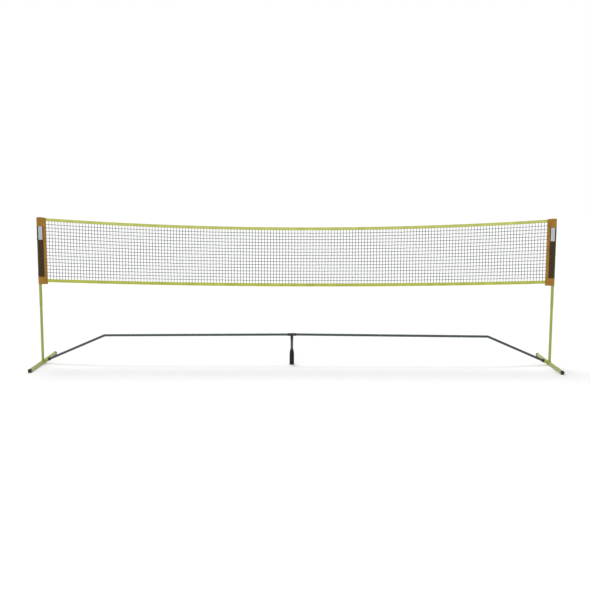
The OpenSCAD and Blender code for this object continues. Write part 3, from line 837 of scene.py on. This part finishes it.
    def stitch_box(self, bag, t0, t1, z0, z1, offset, sides="tblr"):
        """Stitches along the top, bottom, left and right of a patch, or along some of its sides."""
        rows = {"t": ((t0, t1), (z1, z1)), "b": ((t0, t1), (z0, z0)),
                "l": ((t0, t0), (z0, z1)), "r": ((t1, t1), (z0, z1))}
        for key in sides:
            (ta, tb), (za, zb) = rows[key]
            steps = max(8, int(max(abs(tb - ta), abs(zb - za)) / (4 * MM)))
            t = np.linspace(ta, tb, steps)
            z = np.linspace(za, zb, steps)
            path = self.place(t, z, offset)
            add_stitches(bag, path, self.normal(t), 5.5 * MM, 4 * MM, 1.2 * MM, 0.7 * MM)

    def build_block(self, name, z0, z1):
        """Layer around one end of the sleeve, with two rows of stitches."""
        bag = Bag()
        self.band(bag, z0, z1, LAYER_T)
        bag.piece(self.word + name + "_cloth", MATERIALS["orange_cloth"], "net",
                  replaces=[self.word + name])
        thread = Bag()
        for z in (z0 + 8 * MM, z1 - 8 * MM):
            self.stitch_box(thread, 0, OUTLINE.length, z, z, 1.3 * MM, "t")
        thread.piece(self.word + name + "_stitching", ORANGE_THREAD, "net")

    def build_panel(self):
        """Dark panel that runs around the pole from the front to the back."""
        low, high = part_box(self.word + "_sleeve_panel")
        t0 = OUTLINE.front(PANEL_REACH)
        t1 = OUTLINE.length - t0
        inset = 7 * MM
        panel = Bag()
        self.patch(panel, t0, t1, low.z, high.z, 0.0, LAYER_T)
        panel.piece(self.word + "_panel_cloth", MATERIALS["black_cloth"], "net",
                    replaces=[self.word + "_sleeve_panel"])
        thread = Bag()
        self.stitch_box(thread, t0 + inset, t1 - inset, low.z + inset, high.z - inset, 1.2 * MM)
        thread.piece(self.word + "_panel_stitching", DARK_THREAD, "net")

    def build_label(self):
        """Blank pale label at the top of the panel's front."""
        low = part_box(self.word + "_label")[0].z
        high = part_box(self.word + "_sleeve_panel")[1].z - 3 * MM
        t0 = OUTLINE.front(LABEL_NEAR)
        t1 = OUTLINE.front(LABEL_FAR)
        inset = 4 * MM
        label = Bag()
        self.patch(label, t0, t1, low, high, LAYER_T * 0.9, LAYER_T * 0.6)
        label.piece(self.word + "_label_cloth", MATERIALS["label_cloth"], "net",
                    replaces=[self.word + "_label"])
        thread = Bag()
        self.stitch_box(thread, t0 + inset, t1 - inset, low + inset, high - inset, LAYER_T * 1.4)
        thread.piece(self.word + "_label_stitching", MATERIALS["white_cord"], "net")

    def build_flap_seam(self, z0, z1):
        """Two rows of stitches on each face, where the cloth closes on the edge of the mesh."""
        bag = Bag()
        t = OUTLINE.front(SLEEVE_REACH - 14 * MM)
        for start, step in ((t, 9 * MM), (OUTLINE.length - t, -9 * MM)):
            for place in (start, start + step):
                self.stitch_box(bag, place, place, z0, z1, 0.2 * MM, "l")
        bag.piece(self.word + "_flap_stitching", ORANGE_THREAD, "net")

    def build(self):
        low_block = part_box(self.word + "_bottom_block")[1].z
        top_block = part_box(self.word + "_top_block")[0].z
        self.build_body()
        self.build_block("_top_block", top_block, SLEEVE_TOP - 6 * MM)
        self.build_block("_bottom_block", SLEEVE_LOW + 1 * MM, low_block)
        self.build_panel()
        self.build_label()
        self.build_flap_seam(low_block + 4 * MM, top_block - 4 * MM)


# ---- base: bent tubes, welds, caps and boot --------------------------------------------


def flat_point(node):
    """Place of a button's axis in the plane of the net, as (x, z)."""
    centre = box_centre(node)
    return Vector((centre.x, centre.z))


def knee_path(side):
    """Centre line of a knee tube: the bar's line and the stub's line, joined by an arc."""
    inner = flat_point("right_inner_button")
    outer = flat_point("right_outer_button")
    foot = Vector((POLE_X, FOOT_Z - STUB_DROP))
    along_bar = (outer - inner).normalized()
    along_stub = (flat_point("right_stub_button") - foot).normalized()
    cross = along_bar.x * along_stub.y - along_bar.y * along_stub.x
    gap = foot - inner
    knee = inner + along_bar * ((gap.x * along_stub.y - gap.y * along_stub.x) / cross)
    start = Vector((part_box("right_knee_tube")[0].x, 0))
    start.y = inner.y + along_bar.y / along_bar.x * (start.x - inner.x)
    turn = along_bar.angle(-along_stub)
    bend_start = knee - along_bar * BEND_R * math.tan(turn / 2)
    centre = bend_start + Vector((along_bar.y, -along_bar.x)) * BEND_R
    spoke = bend_start - centre
    arc = []
    for k in range(BEND_STEPS + 1):
        angle = -turn * k / BEND_STEPS
        arc.append(centre + Vector((spoke.x * math.cos(angle) - spoke.y * math.sin(angle),
                                    spoke.x * math.sin(angle) + spoke.y * math.cos(angle))))
    points = [start] + arc + [foot + along_stub * KNEE_END]
    return np.array([[side * p.x, 0, p.y] for p in points])


def build_knee(side):
    """Hollow knee tube with its bend."""
    word = "left" if side < 0 else "right"
    path = knee_path(side)
    outer = tube_rings(path, BAR_R, TUBE_SIDES)
    inner = tube_rings(path, BAR_R - BAR_WALL, TUBE_SIDES)
    rings = np.concatenate([outer, inner[::-1], outer[:1]])
    around = np.arange(TUBE_SIDES + 1) / TUBE_SIDES * TAU * BAR_R
    along = path_length(path)
    bag = Bag()
    bag.grid(rings, around, np.concatenate([along, along[::-1], [0]]))
    obj = bag.piece(word + "_knee_bent_tube", MATERIALS["dark_paint"], "base",
                    replaces=[word + "_knee_tube"])
    obj.data.set_sharp_from_angle(angle=math.radians(50))


def weld_bead(bag, path, up):
    """Bead of weld metal: overlapping ripples along a closed path in a plane whose normal is up."""
    turn = np.arange(len(path)) * TAU / len(path)
    size = BEAD_R * (1 + 0.14 * np.abs(np.sin(turn * WELD_RIPPLES)))
    loop = np.concatenate([path[-1:], path, path[:1]])
    sizes = np.concatenate([size[-1:], size, size[:1]])
    rings = tube_rings(loop, sizes, 8, up)[1:-1]
    bag.grid(np.concatenate([rings, rings[:1]]))


def build_foot_welds(side):
    """Beads where the pole's neck and the bar's stub meet the round foot tube."""
    word = "left" if side < 0 else "right"
    bag = Bag()
    angle = np.arange(WELD_STEPS) * TAU / WELD_STEPS
    x = NECK_R * np.cos(angle)
    z = FOOT_Z + np.sqrt(FOOT_R ** 2 - x ** 2)
    weld_bead(bag, np.stack([side * POLE_X + x, NECK_R * np.sin(angle), z], -1), (0.02, 0.03, 1))
    path = knee_path(side)
    back = unit(path[-2] - path[-1])
    across = np.array([back[2], 0, -back[0]])
    origin = np.array([0, 0, -STUB_DROP])
    bead = []
    for a in angle:
        # A line along the stub's surface meets the foot tube, which runs along y, at a root of
        # s^2 + 2 b s + c = 0
        start = origin + STUB_R * (math.cos(a) * across + math.sin(a) * np.array([0, 1, 0]))
        b = start[0] * back[0] + start[2] * back[2]
        c = start[0] ** 2 + start[2] ** 2 - FOOT_R ** 2
        bead.append(start + back * (math.sqrt(max(b * b - c, 0)) - b))
    centre = np.array([side * POLE_X, 0, FOOT_Z])
    weld_bead(bag, np.array(bead) + centre, tuple(back + np.array([0.01, 0.02, 0])))
    bag.piece(word + "_foot_welds", MATERIALS["lime_paint"], "base")


def build_boot():
    """Rubber boot: flat foot with a tread lip, ribbed barrel and a soft, tapered shoulder."""
    r = box_size("leg_boot").x / 2
    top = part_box("leg_boot")[1].z
    sole = 12 * MM
    shoulder = 90 * MM
    neck = LEG_R + 5 * MM
    bore = LEG_R + 0.15 * MM
    profile = [(0.5 * MM, 0), (r - 12 * MM, 0), (r - 11 * MM, 2 * MM), (r - 8 * MM, 2 * MM),
               (r - 7 * MM, 0), (r - 2.5 * MM, 0), (r - 0.6 * MM, 1 * MM), (r, 3 * MM), (r, 16 * MM),
               (r - 1.8 * MM, 18 * MM), (r - 1.8 * MM, 21 * MM)]
    for z in 26 * MM + np.arange(RIBS) * RIB_PITCH:
        profile += [(r - 0.6 * MM, z), (r - 0.4 * MM, z + 3 * MM), (r - 0.6 * MM, z + 6 * MM),
                    (r - 1.9 * MM, z + 7.6 * MM), (r - 1.9 * MM, z + 9.2 * MM)]
    profile += [(r - 0.7 * MM, 96 * MM), (r - 0.7 * MM, top - shoulder - 8 * MM)]
    for share in np.linspace(0, 1, 13):
        profile.append((neck + (r - 0.7 * MM - neck) * math.cos(share * math.pi / 2) ** 1.4,
                        top - shoulder + (shoulder - 9 * MM) * share))
    profile += [(neck + 1.2 * MM, top - 7 * MM), (neck + 1.6 * MM, top - 4 * MM),
                (neck + 0.8 * MM, top - 0.8 * MM), (neck - 1.5 * MM, top), (bore + 0.6 * MM, top),
                (bore, top - 1.5 * MM), (bore, sole), (0.5 * MM, sole)]
    bag = Bag()
    add_lathe(bag, profile, (LEG_X, 0, 0), 72)
    obj = bag.piece("leg_boot_rubber", MATERIALS["black_rubber"], "base",
                    replaces=["leg_boot"])
    obj.data.set_sharp_from_angle(angle=CREASE_ANGLE)


# ---- assembly ---------------------------------------------------------------------------

build_net()
build_tape("top_tape", top_curve, TOP_TAPE_H, True, 5, MATERIALS["yellow_tape"])
build_tape("bottom_tape", low_curve, LOW_TAPE_H, False, 6, LOW_TAPE_CLOTH)
for side in (-1, 1):
    Sleeve(side).build()
    build_knee(side)
    build_foot_welds(side)
build_boot()
for word in ("left", "right"):
    for end in ("front", "rear"):
        softened(f"{word}_{end}_cap", "black_plastic", 5 * MM)
    softened(f"{word}_stub_collar", "black_plastic", 1.2 * MM)
    softened(f"{word}_pole_ferrule", "lime_plastic", 1.0 * MM)
softened("centre_tee", "black_plastic", 0.9 * MM)

# ---- floor, light and camera ---------------------------------------------------------------


def build_floor():
    mesh = bpy.data.meshes.new("floor")
    half = 60.0
    mesh.from_pydata([(-half, -half, 0), (half, -half, 0), (half, half, 0), (-half, half, 0)], [],
                     [(0, 1, 2, 3)])
    f = Finish("floor_paper", Roughness=0.9, Base_Color=(0.93, 0.93, 0.93, 1.0), Specular_IOR_Level=0.1)
    mesh.materials.append(f.material)
    floor = bpy.data.objects.new("floor", mesh)
    bpy.context.scene.collection.objects.link(floor)
    floor.location.z = -0.5 * MM


def build_light():
    """White room, a broad lamp high behind on the left, and a lower one in front on the left."""
    world = bpy.data.worlds.new("studio")
    bpy.context.scene.world = world
    world.use_nodes = True
    tree = world.node_tree
    room = tree.nodes["Background"]
    room.inputs["Color"].default_value = (1, 1, 1, 1)
    room.inputs["Strength"].default_value = 0.66
    backdrop = tree.nodes.new("ShaderNodeBackground")
    backdrop.inputs["Color"].default_value = (1, 1, 1, 1)
    seen = tree.nodes.new("ShaderNodeLightPath")
    choice = tree.nodes.new("ShaderNodeMixShader")
    tree.links.new(seen.outputs["Is Camera Ray"], choice.inputs[0])
    tree.links.new(room.outputs[0], choice.inputs[1])
    tree.links.new(backdrop.outputs[0], choice.inputs[2])
    tree.links.new(choice.outputs[0], tree.nodes["World Output"].inputs["Surface"])
    for name, energy, width, ahead in (("key", 1.45, 24, (0.16, -0.42, -1.0)),
                                       ("side", 0.4, 30, (0.5, 0.85, -0.4))):
        light = bpy.data.lights.new(name, "SUN")
        light.energy = energy
        light.angle = math.radians(width)
        lamp = bpy.data.objects.new(name, light)
        lamp.rotation_euler = Vector(ahead).to_track_quat("-Z", "Y").to_euler()
        bpy.context.scene.collection.objects.link(lamp)


def build_camera():
    """Camera at about eye height, almost square to the net."""
    data = bpy.data.cameras.new("camera")
    data.sensor_width = 36
    data.lens = 53.5
    data.clip_end = 200
    place = Vector((0.031, -14.456, 3.021))
    pitch = math.radians(7.29)
    yaw = math.radians(-0.20)
    roll = math.radians(0.158)
    ahead = Vector((math.sin(yaw) * math.cos(pitch), math.cos(yaw) * math.cos(pitch), -math.sin(pitch)))
    right = Vector((math.cos(yaw), -math.sin(yaw), 0))
    up = right.cross(ahead)
    right_rolled = right * math.cos(roll) + up * math.sin(roll)
    up_rolled = up * math.cos(roll) - right * math.sin(roll)
    turn = Matrix((right_rolled, up_rolled, -ahead)).transposed().to_4x4()
    camera = bpy.data.objects.new("camera", data)
    camera.matrix_world = Matrix.Translation(place) @ turn
    bpy.context.scene.collection.objects.link(camera)
    bpy.context.scene.camera = camera


build_floor()
build_light()
build_camera()
bpy.context.scene.view_settings.view_transform = "Standard"
